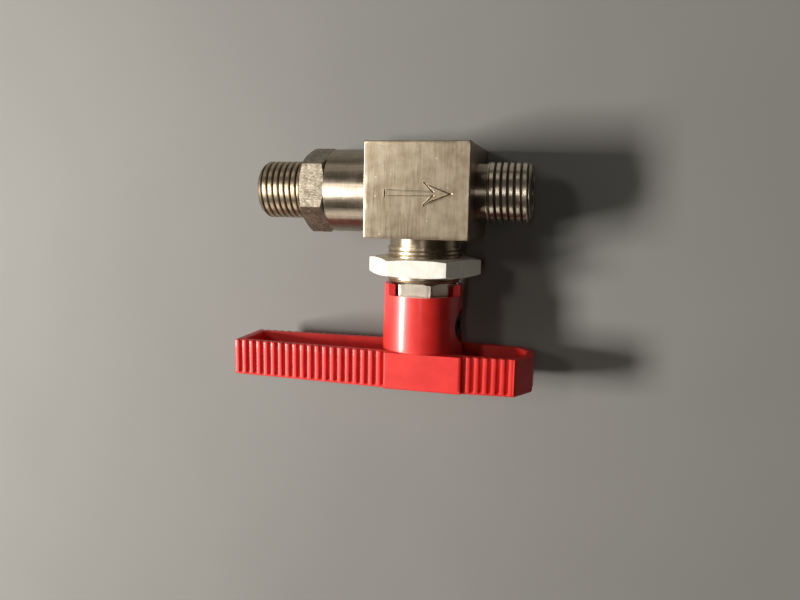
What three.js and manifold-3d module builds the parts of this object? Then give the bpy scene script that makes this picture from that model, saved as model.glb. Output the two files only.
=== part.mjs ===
// Quarter-turn instrument ball valve with a ribbed lever, lying on the back of its body block.
// Millimetres. X runs along the flow towards the outlet, the stem points along -Y, and Z is up.
// Every piece is drawn about the point where the flow axis meets the stem axis; the last lines
// move the whole valve so that its origin is the centre of its footprint.
import * as THREE from "three";
import { mergeVertices } from "three/addons/utils/BufferGeometryUtils.js";
import Module from "manifold-3d";

const wasm = await Module();
wasm.setup();

// ---------------------------------------------------------------- driving dimensions
const GAP = 0.3; // clearance left between neighbouring pieces
const ROUND = 32; // facets round an outside surface
const INNER_ROUND = 24; // facets round an inside piece

const block = { left: -11.2, right: 12.8, height: 21.6, depth: 30, chamfer: 0.5 };
const portThread = { radius: 7.0, root: 6.12, pitch: 1.5 }; // M14 x 1.5
const outlet = { end: 25.5, shank: 6.65, threadFrom: 15.3 };
const inlet = { end: -41.2, threadTo: -30.2, hexFrom: -29.3, hexTo: -22.95, barrel: 10.05 };
const inletHex = { acrossFlats: 18, tilt: 6.5, chamfer: 27 };
const port = { bore: 3.2, tubeSocket: 4.0, mouth: 4.65, socketDepth: 5.5, coneDepth: 3 };

const neck = { relief: 8.5, reliefTo: -13.1, crest: 8.9, root: 8.35, pitch: 1.0, end: -21.5 }; // M18 x 1
const panelNut = { acrossFlats: 24, top: -15.7, bottom: -19.95, cornerAngle: 33, chamfer: 15 };
const glandNut = { acrossFlats: 14, bottom: -25.5, cornerAngle: 24, chamfer: 20 };
const glandThread = { top: -18.3, radius: 5.3 };

const ball = { radius: 5.3, slotWidth: 2.4, slotFloor: -3.6 };
const seat = { face: 3.3, back: 6.0, radius: 5.9 };
const springWasher = { back: 7.1, inner: 3.6, thickness: 0.4 };
const spigot = { tip: -7.4, radius: 7.4 };
const oRing = { radius: 8.35, section: 0.6, centre: -12.15 };

const stem = { radius: 2.5, end: -37.0, shoulder: 4.3, shoulderTop: -6.2, shoulderBottom: -7.6, flat: 2.2 };
const thrustWasher = { top: -7.9, bottom: -8.6 };
const packing = { top: -11.5, ring: 1.0, count: 3, chamber: 4.4 };
const follower = { top: -15.4, bottom: -16.4 };
const discSprings = { top: -16.9, count: 2, step: 0.7, inner: 2.9, outer: 5.2, thickness: 0.3, dish: 0.15 };

const hub = { radius: 9.9, rim: -24.7, recess: 8.3, recessFloor: -26.5 };
const lugs = { top: -22.1, half: 4.5, turn: 14 };
const bar = { top: -38.1, bottom: -47.05, tip: -47.4, noseFrom: 23.7, nose: 27.4, noseHalf: 2.6 };
const barHalf = { tip: 7.5, leftOfHub: 9.2, pad: 9.9, rightOfHub: 9.1, noseRoot: 8.2 };
const ribs = { pitch: 2.0, width: 0.95, depth: 0.7, left: 20, right: 6, rightFrom: 12.35 };
const shell = { wall: 1.3, floor: 1.75 };
const insert = { radius: 5.2, top: -26.8, bottom: -38.2, bore: 2.8 };
const clampScrew = { y: -32.1, shank: 1.9, head: 3.5, headTop: 9.0, headBottom: 6.2, socket: 2.9 };
const counterbore = 4.3;

// ---------------------------------------------------------------- materials
function finish(color, metalness, roughness) {
  return new THREE.MeshStandardMaterial({ color, metalness, roughness });
}
const steel = finish(0xb9ae9c, 1.0, 0.38);
const nickel = finish(0xdcdad0, 1.0, 0.3);
const innerSteel = finish(0xa8a8a6, 1.0, 0.3);
const brass = finish(0xb9975a, 1.0, 0.35);
const ptfe = finish(0xeeece6, 0.0, 0.6);
const rubber = finish(0x1d1d1e, 0.0, 0.8);
const blackSteel = finish(0x26262a, 0.8, 0.45);
const redPlastic = finish(0xc8201c, 0.0, 0.25);

// ---------------------------------------------------------------- helpers
const radians = THREE.MathUtils.degToRad;

function solid(geometry) {
  const bare = geometry.clone();
  bare.deleteAttribute("normal");
  bare.deleteAttribute("uv");
  const merged = mergeVertices(bare, 1e-4);
  return new wasm.Manifold(
    new wasm.Mesh({
      numProp: 3,
      vertProperties: new Float32Array(merged.attributes.position.array),
      triVerts: new Uint32Array(merged.index.array),
    }),
  );
}

function geometryOf(body) {
  const { vertProperties, triVerts } = body.getMesh();
  const geometry = new THREE.BufferGeometry();
  geometry.setAttribute("position", new THREE.BufferAttribute(new Float32Array(vertProperties), 3));
  geometry.setIndex(new THREE.BufferAttribute(new Uint32Array(triVerts), 1));
  geometry.computeVertexNormals();
  return geometry;
}

// Turns a profile of [position along the axis, radius] points about the Y axis.
function turnedY(profile, segments = ROUND) {
  const shoelace = profile.reduce((sum, [along, radius], i) => {
    const [nextAlong, nextRadius] = profile[(i + 1) % profile.length];
    return sum + along * nextRadius - nextAlong * radius;
  }, 0);
  const ordered = shoelace > 0 ? [...profile].reverse() : [...profile];
  const onAxis = ordered.some(([, radius]) => radius === 0);
  if (!onAxis) ordered.push(ordered[0]);
  const start = onAxis ? ordered.findIndex(([, r], i) => r === 0 && ordered.at(i - 1)[1] === 0) : 0;
  const rolled = onAxis ? [...ordered.slice(start), ...ordered.slice(0, start)] : ordered;
  const points = rolled.map(([along, radius]) => new THREE.Vector2(radius, along));
  return solid(new THREE.LatheGeometry(points, segments));
}

const rotated = (body, x, y, z) => body.rotate([x, y, z]);

// The same, about the X axis: the profile's first number becomes X.
const turnedX = (profile, segments) => rotated(turnedY(profile, segments), 0, 0, -90);

const cylinderY = (radius, from, to, segments) =>
  turnedY([[from, 0], [from, radius], [to, radius], [to, 0]], segments);

const cylinderX = (radius, from, to, segments) =>
  turnedX([[from, 0], [from, radius], [to, radius], [to, 0]], segments);

function boxBetween(low, high) {
  const size = high.map((v, i) => v - low[i]);
  const centre = high.map((v, i) => (v + low[i]) / 2);
  return solid(new THREE.BoxGeometry(...size).translate(...centre));
}

// Crests and roots of a thread, as ridges, between two places on an axis.
function ridges(from, to, { pitch }, crest, root) {
  const count = Math.floor(Math.abs(to - from) / pitch);
  const step = (Math.sign(to - from) * pitch) / 2;
  const points = [];
  for (let i = 0; i < 2 * count; i++) {
    points.push([from + i * step, i % 2 ? crest : root]);
  }
  points.push([to, root]);
  return points;
}

// A hexagon bar about Y with chamfered corners. cornerAngle is measured from +Z towards +X, and chamfer
// from the bar's end faces, both in degrees.
function hexagonY({ acrossFlats, chamfer }, from, to, cornerAngle) {
  const cornerRadius = acrossFlats / 2 / Math.cos(Math.PI / 6);
  const prism = new THREE.CylinderGeometry(
    cornerRadius, cornerRadius, Math.abs(to - from), 6, 1, false, radians(cornerAngle),
  ).translate(0, (from + to) / 2, 0);
  const corner = cornerRadius - (acrossFlats / 2) * 0.98;
  const drop = corner * Math.tan(radians(chamfer));
  const [low, high] = [Math.min(from, to), Math.max(from, to)];
  const envelope = turnedY([
    [low, 0],
    [low, cornerRadius - corner],
    [low + drop, cornerRadius],
    [high - drop, cornerRadius],
    [high, cornerRadius - corner],
    [high, 0],
  ]);
  return solid(prism).intersect(envelope);
}

// A closed outline in X and Z, given as [x, z] points, as a plate from one height in Y down to another.
function plate(outline, top, bottom) {
  const shape = new THREE.Shape(outline.map(([x, z]) => new THREE.Vector2(x, z)));
  const geometry = new THREE.ExtrudeGeometry(shape, { depth: top - bottom, bevelEnabled: false });
  return solid(geometry.rotateX(Math.PI / 2).translate(0, top, 0));
}

const subtractAll = (body, ...cuts) => cuts.reduce((left, cut) => left.subtract(cut), body);

// ---------------------------------------------------------------- body and connector
// The mouth of a port: a 24 degree cone and a socket for the tube, then the flow bore.
function portBore(face, inwards, to) {
  const cone = face + inwards * port.coneDepth;
  const socket = face + inwards * port.socketDepth;
  const outside = face - inwards;
  return turnedX([
    [outside, 0],
    [outside, port.mouth],
    [face, port.mouth],
    [cone, port.tubeSocket],
    [socket, port.tubeSocket],
    [socket, port.bore],
    [to, port.bore],
    [to, 0],
  ]);
}

function bodyBlock() {
  const { left, right, height, depth, chamfer } = block;
  const [x0, x1, y1] = [left + chamfer, right - chamfer, height / 2 - chamfer];
  const shape = new THREE.Shape([
    new THREE.Vector2(x0, -height / 2),
    new THREE.Vector2(x1, -height / 2),
    new THREE.Vector2(right, -y1),
    new THREE.Vector2(right, y1),
    new THREE.Vector2(x1, height / 2),
    new THREE.Vector2(x0, height / 2),
    new THREE.Vector2(left, y1),
    new THREE.Vector2(left, -y1),
  ]);
  return solid(
    new THREE.ExtrudeGeometry(shape, {
      depth: depth - 2 * chamfer,
      bevelSize: chamfer,
      bevelThickness: chamfer,
      bevelOffset: -chamfer,
      bevelSegments: 1,
    }).translate(0, 0, -depth / 2 + chamfer),
  );
}

function outletStub() {
  const { radius, root } = portThread;
  const lastCrest = outlet.end - 0.8;
  return turnedX([
    [0, 0],
    [0, outlet.shank],
    [outlet.threadFrom, outlet.shank],
    ...ridges(outlet.threadFrom + 0.25, lastCrest - 0.7, portThread, radius, root),
    [lastCrest, radius],
    [outlet.end, root],
    [outlet.end, 0],
  ]);
}

function neckStub() {
  const lastCrest = neck.end + 0.7;
  return turnedY([
    [-1, 0],
    [-1, neck.relief],
    [neck.reliefTo, neck.relief],
    ...ridges(neck.reliefTo - 0.05, lastCrest + 0.6, neck, neck.crest, neck.root),
    [lastCrest, neck.crest],
    [neck.end, neck.root],
    [neck.end, 0],
  ]);
}

function valveBody() {
  const packingTop = packing.top + GAP;
  const springTop = follower.bottom - 0.2;
  const stemPassage = turnedY(
    [
      [0, 0],
      [0, stem.shoulder + GAP],
      [thrustWasher.bottom - GAP, stem.shoulder + GAP],
      [thrustWasher.bottom - GAP, stem.radius + GAP],
      [packingTop, stem.radius + GAP],
      [packingTop, packing.chamber],
      [springTop, packing.chamber],
      [springTop, glandThread.radius + GAP],
      [neck.end - 1, glandThread.radius + GAP],
      [neck.end - 1, 0],
    ],
    INNER_ROUND,
  );
  const ballChamber = cylinderX(seat.radius + GAP, block.left - 1, seat.back + GAP, INNER_ROUND);
  const spigotBore = cylinderX(spigot.radius + GAP, block.left - 1, spigot.tip + GAP, INNER_ROUND);
  const outletBore = portBore(outlet.end, -1, 0);
  return subtractAll(
    bodyBlock().add(outletStub()).add(neckStub()),
    ballChamber,
    spigotBore,
    outletBore,
    stemPassage,
  );
}

function inletConnector() {
  const { radius, root } = portThread;
  const barrelEnd = block.left - GAP;
  const firstCrest = inlet.end + 0.8;
  const core = turnedX([
    [inlet.end, 0],
    [inlet.end, root],
    [firstCrest, radius],
    ...ridges(firstCrest + 0.75, inlet.threadTo, portThread, radius, root),
    [inlet.hexFrom + 1, root],
    [inlet.hexFrom + 1, radius],
    [inlet.hexTo, radius],
    [inlet.hexTo, inlet.barrel],
    [barrelEnd, inlet.barrel],
    [barrelEnd, spigot.radius],
    [spigot.tip, spigot.radius],
    [spigot.tip, 0],
  ]);
  const hexagon = rotated(
    hexagonY(inletHex, inlet.hexFrom, inlet.hexTo, 30 - inletHex.tilt), 0, 0, -90,
  );
  const { radius: ringRadius, section, centre } = oRing;
  const groove = turnedX([
    [centre - section - 0.1, ringRadius - section - 0.1],
    [centre - section - 0.1, ringRadius + section + 0.1],
    [barrelEnd + 1, ringRadius + section + 0.1],
    [barrelEnd + 1, ringRadius - section - 0.1],
  ]);
  return subtractAll(core.add(hexagon), groove, portBore(inlet.end, 1, spigot.tip + 1));
}

function bodyORing() {
  const profile = [];
  const sides = 10;
  for (let i = 0; i < sides; i++) {
    const angle = (2 * Math.PI * i) / sides;
    const along = oRing.centre + oRing.section * Math.cos(angle);
    const radius = oRing.radius + oRing.section * Math.sin(angle);
    profile.push([along, radius]);
  }
  return turnedX(profile, INNER_ROUND);
}

// ---------------------------------------------------------------- ball and seats
function valveBall() {
  const sphere = solid(new THREE.SphereGeometry(ball.radius, INNER_ROUND, 16));
  const slotSide = ball.slotWidth / 2;
  return subtractAll(
    sphere,
    cylinderX(port.bore, -ball.radius, ball.radius, INNER_ROUND),
    boxBetween([-slotSide, -ball.radius - 1, -ball.radius], [slotSide, ball.slotFloor, ball.radius]),
  );
}

// side is +1 for the outlet seat and -1 for the inlet seat.
function seatRing(side) {
  const cup = ball.radius + GAP;
  const steps = 4;
  const profile = [
    [side * seat.back, port.bore],
    [side * seat.back, seat.radius],
    [side * seat.face, seat.radius],
  ];
  const first = Math.acos(seat.face / cup);
  const last = Math.asin(port.bore / cup);
  for (let i = 0; i <= steps; i++) {
    const angle = first + ((last - first) * i) / steps;
    profile.push([side * cup * Math.cos(angle), cup * Math.sin(angle)]);
  }
  return turnedX(profile, INNER_ROUND);
}

// A coned spring washer behind the inlet seat.
function seatSpring() {
  const { back, inner, thickness } = springWasher;
  const front = -(seat.back + GAP);
  return turnedX(
    [[front, inner], [front - thickness, inner], [-back, seat.radius], [-back + thickness, seat.radius]],
    INNER_ROUND,
  );
}

// ---------------------------------------------------------------- stem and its packing
function valveStem() {
  const shaft = turnedY(
    [
      [stem.shoulderTop, 0],
      [stem.shoulderTop, stem.shoulder],
      [stem.shoulderBottom, stem.shoulder],
      [stem.shoulderBottom, stem.radius],
      [stem.end + 0.5, stem.radius],
      [stem.end, stem.radius - 0.5],
      [stem.end, 0],
    ],
    INNER_ROUND,
  );
  const tangSide = ball.slotWidth / 2 - GAP;
  const tang = boxBetween([-tangSide, stem.shoulderTop - 0.5, -2.9], [tangSide, ball.slotFloor - GAP, 2.9]);
  const flat = boxBetween([stem.flat, stem.end - 1, -5], [5, insert.top - 1.5, 5]);
  return shaft.add(tang).subtract(flat);
}

// A plain ring about the stem.
const stemRing = (top, bottom, inner, outer) =>
  turnedY([[top, inner], [top, outer], [bottom, outer], [bottom, inner]], INNER_ROUND);

const thrustRing = () =>
  stemRing(thrustWasher.top, thrustWasher.bottom, stem.radius + GAP, stem.shoulder);

function packingRing(index) {
  const top = packing.top - index * (packing.ring + GAP);
  return stemRing(top, top - packing.ring, stem.radius + GAP, packing.chamber - 0.2);
}

const packingFollower = () =>
  stemRing(follower.top, follower.bottom, stem.radius + GAP, packing.chamber - 0.2);

function discSpring(index) {
  const { inner, outer, thickness, dish, step } = discSprings;
  const top = discSprings.top - index * step;
  const lean = index % 2 ? -dish : dish;
  const profile = [
    [top + lean, inner],
    [top - lean, outer],
    [top - lean - thickness, outer],
    [top + lean - thickness, inner],
  ];
  return turnedY(profile, INNER_ROUND);
}

function packingGlandNut() {
  const head = hexagonY(glandNut, neck.end - GAP, glandNut.bottom, glandNut.cornerAngle);
  const thread = cylinderY(glandThread.radius, glandThread.top, neck.end - 1, INNER_ROUND);
  const passage = cylinderY(stem.radius + GAP, glandThread.top + 1, glandNut.bottom - 1, INNER_ROUND);
  return head.add(thread).subtract(passage);
}

function panelMountingNut() {
  const hexagon = hexagonY(panelNut, panelNut.top, panelNut.bottom, panelNut.cornerAngle);
  return hexagon.subtract(cylinderY(neck.crest + GAP, panelNut.top + 1, panelNut.bottom - 1));
}

// ---------------------------------------------------------------- lever
// Half the width of the lever bar at x, over the crests of its ribs.
function halfWidthAt(x) {
  const padFrom = bar.tip + ribs.left * ribs.pitch;
  if (x <= padFrom) {
    return THREE.MathUtils.mapLinear(x, bar.tip, padFrom, barHalf.tip, barHalf.leftOfHub);
  }
  return THREE.MathUtils.mapLinear(x, ribs.rightFrom, bar.noseFrom, barHalf.rightOfHub, barHalf.noseRoot);
}

// One long side of the bar, from the tip to the nose.
function ribbedSide() {
  const side = [];
  const padFrom = bar.tip + ribs.left * ribs.pitch;
  const addRib = (from) => {
    const to = from + ribs.width;
    side.push([from, halfWidthAt(from)], [to, halfWidthAt(to)]);
  };
  const addGroove = (from, to) => {
    side.push([from, halfWidthAt(from) - ribs.depth], [to, halfWidthAt(to) - ribs.depth]);
  };
  for (let i = 0; i < ribs.left; i++) {
    const from = bar.tip + i * ribs.pitch;
    addRib(from);
    addGroove(from + ribs.width, from + ribs.pitch);
  }
  const padTo = ribs.rightFrom - (ribs.pitch - ribs.width);
  side.push([padFrom, barHalf.pad], [padTo, barHalf.pad]);
  for (let i = 0; i < ribs.right; i++) {
    const from = ribs.rightFrom + i * ribs.pitch;
    addGroove(from - ribs.pitch + ribs.width, from);
    addRib(from);
  }
  side.push([bar.noseFrom, barHalf.noseRoot], [bar.nose, bar.noseHalf]);
  return side;
}

const mirrored = (side) => [...side, ...side.map(([x, z]) => [x, -z]).reverse()];

// The hollow of one arm, open towards the body.
function armHollow(side) {
  const top = bar.top + 1;
  const bottom = bar.bottom + shell.floor;
  const inset = ribs.depth + shell.wall;
  return plate(mirrored(side.map(([x, half]) => [x, half - inset])), top, bottom);
}

// One of the two lugs on the hub's rim: a piece of ring with flat parallel ends, turned off the flow axis.
function hubLug(side) {
  const steps = 8;
  const turn = side * radians(lugs.turn);
  const arc = (radius, direction) =>
    Array.from({ length: steps + 1 }, (_, i) => {
      const angle = direction * Math.asin(lugs.half / radius) * ((2 * i) / steps - 1) - turn;
      return [side * radius * Math.cos(angle), radius * Math.sin(angle)];
    });
  return plate([...arc(hub.radius, side), ...arc(hub.recess, -side)], lugs.top, hub.rim - 0.5);
}

function leverHandle() {
  const leftHollow = armHollow([
    [bar.tip + ribs.depth + shell.wall, barHalf.tip],
    [0, barHalf.leftOfHub],
  ]);
  const rightHollow = armHollow([
    [0, barHalf.rightOfHub],
    [bar.noseFrom - 1, barHalf.noseRoot],
    [bar.nose - 2, bar.noseHalf + 1.8],
  ]);
  const hubPost = cylinderY(hub.radius, hub.rim, bar.bottom + 1);
  const moulding = subtractAll(plate(mirrored(ribbedSide()), bar.top, bar.bottom), leftHollow, rightHollow)
    .add(hubPost)
    .add(hubLug(1))
    .add(hubLug(-1));
  return subtractAll(
    moulding,
    cylinderY(hub.recess, hub.rim + 0.01, hub.recessFloor),
    cylinderY(insert.radius + GAP, hub.rim, insert.bottom - GAP, INNER_ROUND),
    cylinderX(counterbore, insert.radius + 0.6, hub.radius + 1, INNER_ROUND).translate([0, clampScrew.y, 0]),
    cylinderX(clampScrew.shank + GAP, 0, hub.radius, INNER_ROUND).translate([0, clampScrew.y, 0]),
  );
}

function leverInsert() {
  const bush = stemRing(insert.top, insert.bottom, insert.bore, insert.radius);
  const screwHole = cylinderX(clampScrew.shank + GAP, 0, insert.radius + 1, INNER_ROUND);
  return bush.subtract(screwHole.translate([0, clampScrew.y, 0]));
}

function clampingScrew() {
  const { shank, head, headTop, headBottom, socket } = clampScrew;
  const turned = turnedX(
    [
      [stem.flat + GAP, 0],
      [stem.flat + GAP, shank - 0.4],
      [stem.flat + GAP + 0.4, shank],
      [headBottom, shank],
      [headBottom, head],
      [headTop - 0.4, head],
      [headTop, head - 0.4],
      [headTop, 0],
    ],
    INNER_ROUND,
  );
  const socketCorner = socket / 2 / Math.cos(Math.PI / 6);
  const key = new THREE.CylinderGeometry(socketCorner, socketCorner, 2, 6).rotateZ(-Math.PI / 2);
  return turned.subtract(solid(key.translate(headTop - 0.6, 0, 0))).translate([0, clampScrew.y, 0]);
}

// ---------------------------------------------------------------- assembly
const pieces = [
  ["valve_body", steel, valveBody()],
  ["inlet_connector", steel, inletConnector()],
  ["body_o_ring", rubber, bodyORing()],
  ["ball", innerSteel, valveBall()],
  ["seat_ring_outlet", ptfe, seatRing(1)],
  ["seat_ring_inlet", ptfe, seatRing(-1)],
  ["seat_spring_washer", innerSteel, seatSpring()],
  ["stem", innerSteel, valveStem()],
  ["stem_thrust_washer", ptfe, thrustRing()],
  ["packing_follower", innerSteel, packingFollower()],
  ["gland_nut", nickel, packingGlandNut()],
  ["panel_nut", nickel, panelMountingNut()],
  ["lever_handle", redPlastic, leverHandle()],
  ["lever_insert", brass, leverInsert()],
  ["lever_clamp_screw", blackSteel, clampingScrew()],
];
for (let i = 0; i < packing.count; i++) {
  pieces.push([`packing_ring_${i + 1}`, ptfe, packingRing(i)]);
}
for (let i = 0; i < discSprings.count; i++) {
  pieces.push([`disc_spring_${i + 1}`, innerSteel, discSpring(i)]);
}

const valve = new THREE.Group();
for (const [name, material, body] of pieces) {
  const mesh = new THREE.Mesh(geometryOf(body), material);
  mesh.name = name;
  valve.add(mesh);
}
valve.position.set(
  -(bar.tip + bar.nose) / 2,
  -(block.height / 2 + bar.bottom) / 2,
  block.depth / 2,
);

const group = new THREE.Group();
group.add(valve);

export default group;
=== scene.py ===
"""Looks of the quarter-turn instrument ball valve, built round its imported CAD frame.

All sizes are millimetres about the point where the flow axis (X) meets the stem axis (Y), until place()
turns them into the frame's metres. Angles about an axis are counted from +Z, towards +Y about X and towards
+X about Y.
"""

import math

import bmesh
import bpy
import numpy as np
from mathutils import Matrix, Vector


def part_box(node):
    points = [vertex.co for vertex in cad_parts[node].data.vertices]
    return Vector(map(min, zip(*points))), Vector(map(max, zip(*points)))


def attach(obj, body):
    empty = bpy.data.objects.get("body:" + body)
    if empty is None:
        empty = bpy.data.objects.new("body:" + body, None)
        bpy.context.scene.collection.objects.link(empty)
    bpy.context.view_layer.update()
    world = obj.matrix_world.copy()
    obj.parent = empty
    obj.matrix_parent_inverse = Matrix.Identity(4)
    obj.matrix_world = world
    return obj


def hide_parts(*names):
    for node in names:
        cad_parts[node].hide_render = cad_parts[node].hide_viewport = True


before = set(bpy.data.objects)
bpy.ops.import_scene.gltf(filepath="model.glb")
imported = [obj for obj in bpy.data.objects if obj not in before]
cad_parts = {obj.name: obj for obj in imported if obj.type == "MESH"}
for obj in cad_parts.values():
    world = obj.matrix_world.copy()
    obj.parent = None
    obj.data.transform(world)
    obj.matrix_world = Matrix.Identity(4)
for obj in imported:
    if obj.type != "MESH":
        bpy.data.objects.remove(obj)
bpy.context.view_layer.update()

MM = 0.001
TAU = 2 * math.pi

# degrees: where a mesh turns sharp, and the extra places round each corner of a hexagon
SMOOTH_ANGLE = 32.0
CORNER_STEPS = (-1.6, -0.9, -0.4, 0, 0.4, 0.9, 1.6)
# faces round a broken edge
EDGE_STEPS = 3

# ------------------------------------------------------------------ places, taken from the frame
seat_low, seat_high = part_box("seat_ring_inlet")
nut_low, nut_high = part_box("panel_nut")
FLOW_Y = (seat_low.y + seat_high.y) / 2
FLOW_Z = (seat_low.z + seat_high.z) / 2
STEM_X = (nut_low.x + nut_high.x) / 2
ORIGIN = Vector((STEM_X, FLOW_Y, FLOW_Z))


def place(points):
    """Millimetres about the crossing of the two axes, as metres in the frame."""
    return np.asarray(points, float) * MM + np.array(ORIGIN)


# ------------------------------------------------------------------ driving sizes, in millimetres
# Round sizes are radii. Flats and the screw's socket are whole widths. Ends, tops and bottoms are places.
# block and the passages through it
BLOCK_LEFT = -11.2
BLOCK_RIGHT = 12.8
BLOCK_HALF_HEIGHT = 10.795
BLOCK_HALF_DEPTH = 14.97
BLOCK_EDGE = 0.25
FLOW_BORE = 3.2
CONNECTOR_BORE = 7.75
CONNECTOR_BORE_END = -7.1
CHAMBER = 6.2
CHAMBER_END = 6.3
STEM_BORE = 2.8
SHOULDER_BORE = 4.6
SHOULDER_BORE_END = -8.9
NECK_BORE_FROM = -10.0
PORT_ROOT_IN_BLOCK = 12.3
NECK_ROOT_IN_BLOCK = -10.4

# the two M14 ports and the inlet connector
PORT_CREST = 7.0
PORT_PITCH = 1.5
PORT_DEPTH = 0.8
THREAD_RUNOUT = 0.05
OUTLET_END = 25.5
OUTLET_THREAD_FROM = 15.2
OUTLET_SHANK = 6.65
INLET_END = -41.2
INLET_THREAD_TO = -30.3
HEX_FROM = -29.3
HEX_TO = -22.95
HEX_FLATS = 18.0
HEX_TILT = 6.5
HEX_CHAMFER_FROM = 8.82
HEX_CHAMFER = 27
BARREL = 10.0
BARREL_END = -11.22
SPIGOT = 7.4
SPIGOT_END = -7.3
CONE_MOUTH = 4.65
TUBE_SOCKET = 4.0
CONE_DEPTH = 3.0
SOCKET_DEPTH = 5.5
OUTLET_GROOVE = 15.62
INLET_GROOVE = -40.05

# panel neck and nuts
NECK_RELIEF = 8.5
NECK_RELIEF_TO = -13.1
NECK_END = -21.5
NECK_CREST = 8.9
NECK_PITCH = 1.0
NECK_DEPTH = 0.25
NECK_BORE = 5.6
NECK_GROOVE = -14.0
PANEL_NUT_FLATS = 24.0
PANEL_NUT_TOP = -15.7
PANEL_NUT_BOTTOM = -19.95
PANEL_NUT_CORNER = 33.0
GLAND_FLATS = 14.0
GLAND_TOP = -21.55
GLAND_BOTTOM = -25.5
GLAND_CORNER = 24.0
GLAND_BORE = 2.8

# lever: hub, then bar, then clamp screw
HUB = 9.87
HUB_RIM = -24.7
HUB_RECESS = 8.3
HUB_RECESS_FLOOR = -26.5
LUG_TOP = -22.1
LUG_HALF = 4.5
LUG_TURN = 14.0
HUB_DRAFT = 0.25
BAR_TOP = -38.1
BAR_BOTTOM = -47.05
BAR_TIP = -47.4
BAR_NOSE = 27.4
NOSE_FROM = 23.7
NOSE_HALF = 2.6
HALF_AT_TIP = 7.5
HALF_LEFT_OF_HUB = 9.2
HALF_PAD = 9.95
HALF_RIGHT_OF_HUB = 9.1
HALF_AT_NOSE = 8.2
RIB_PITCH = 2.0
RIB_WIDTH = 0.95
RIB_DEPTH = 0.75
RIB_CROWN = 0.07
LEFT_RIBS = 20
RIGHT_RIBS = 6
LEFT_RIBS_FROM = BAR_TIP + 0.1
RIGHT_RIBS_FROM = 12.35
WALL = 1.2
FLOOR_THICKNESS = 1.75
BOTTOM_FILLET = 0.6
RIM_EDGE = 0.15
END_REACH = 4.0
RIBS_FADE_FROM = 0.45
RIBS_FADE_TO = 1.0
INSERT_BORE = 5.5
INSERT_END = -38.5
SCREW_Y = -32.1
COUNTERBORE = 4.3
COUNTERBORE_FLOOR = 5.8
SCREW_HEAD = 3.5
SCREW_HEAD_TOP = 9.0
SCREW_HEAD_BOTTOM = 6.2
SCREW_SHANK = 1.9
SCREW_TIP = 2.5
SCREW_SOCKET = 2.5


# ------------------------------------------------------------------ mesh helpers
def make_piece(name, points, faces, materials, face_materials=None):
    """One clean mesh object, from points in the millimetre system."""
    mesh = bpy.data.meshes.new(name)
    mesh.from_pydata([tuple(p) for p in place(points)], [], [tuple(f) for f in faces])
    for material in materials:
        mesh.materials.append(material)
    if face_materials is not None:
        mesh.polygons.foreach_set("material_index", np.asarray(face_materials, np.int32))
    clean(mesh)
    shade(mesh)
    piece = bpy.data.objects.new(name, mesh)
    bpy.context.scene.collection.objects.link(piece)
    return piece


def clean(mesh):
    """Merges doubled points, drops flat slivers and loose edges, and turns every face outwards."""
    work = bmesh.new()
    work.from_mesh(mesh)
    bmesh.ops.remove_doubles(work, verts=work.verts, dist=2e-7)
    bmesh.ops.dissolve_degenerate(work, edges=work.edges, dist=1e-8)
    bmesh.ops.delete(work, geom=[edge for edge in work.edges if not edge.link_faces], context="EDGES")
    bmesh.ops.recalc_face_normals(work, faces=work.faces)
    if work.calc_volume(signed=True) < 0:
        bmesh.ops.reverse_faces(work, faces=work.faces)
    work.to_mesh(mesh)
    work.free()


def shade(mesh):
    """Smooth faces, with a sharp edge wherever two of them meet at more than the smooth angle."""
    mesh.polygons.foreach_set("use_smooth", np.ones(len(mesh.polygons), bool))
    mesh.set_sharp_from_angle(angle=math.radians(SMOOTH_ANGLE))
    mesh.update()


def loops_to_faces(columns, rows, close_columns=True, close_rows=True, wound_rows=0, winding=0):
    """Quads over a grid of columns by rows, wrapped round either way.

    The first wound_rows rows are helices, which meet the first column again winding rows further on.
    """
    i = np.arange(columns if close_columns else columns - 1)
    j = np.arange(rows if close_rows else rows - 1)
    i, j = np.meshgrid(i, j, indexing="ij")
    next_i, next_j = (i + 1) % columns, (j + 1) % rows

    def across(row):
        helix = (next_i == 0) & (row < wound_rows)
        return np.where(helix, np.minimum(row + winding, wound_rows - 1), row)

    corners = [i * rows + j, next_i * rows + across(j), next_i * rows + across(next_j), i * rows + next_j]
    return np.stack(corners, axis=-1).reshape(-1, 4)


def about_axis(axis, along, radius, angle):
    """Points at a distance along an axis, a radius and an angle."""
    side, up = radius * np.sin(angle), radius * np.cos(angle)
    if axis == "X":
        return np.stack([along, side, up], axis=-1)
    return np.stack([side, along, up], axis=-1)


def revolve(name, axis, angles, rows_at, materials, strip_materials=None, wound_rows=0, winding=0):
    """A closed body of revolution. rows_at(angle) gives its profile as a closed loop of (along, radius)."""
    columns = []
    for angle in angles:
        rows = np.asarray(rows_at(angle), float)
        columns.append(about_axis(axis, rows[:, 0], rows[:, 1], angle))
    points = np.array(columns)
    count, rows = points.shape[:2]
    faces = loops_to_faces(count, rows, wound_rows=wound_rows, winding=winding)
    face_materials = None
    if strip_materials is not None:
        face_materials = np.tile(np.asarray(strip_materials), count)
    return make_piece(name, points.reshape(-1, 3), faces, materials, face_materials)


def full_circle(count, corners=()):
    """Angles all round, with a few more close to each corner, in radians."""
    angles = list(np.arange(count) * TAU / count)
    for corner in corners:
        angles += [corner + math.radians(step) for step in CORNER_STEPS]
    wrapped = np.sort(np.mod(angles, TAU))
    keep = np.concatenate([[True], np.diff(wrapped) > math.radians(0.15)])
    return wrapped[keep]


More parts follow.
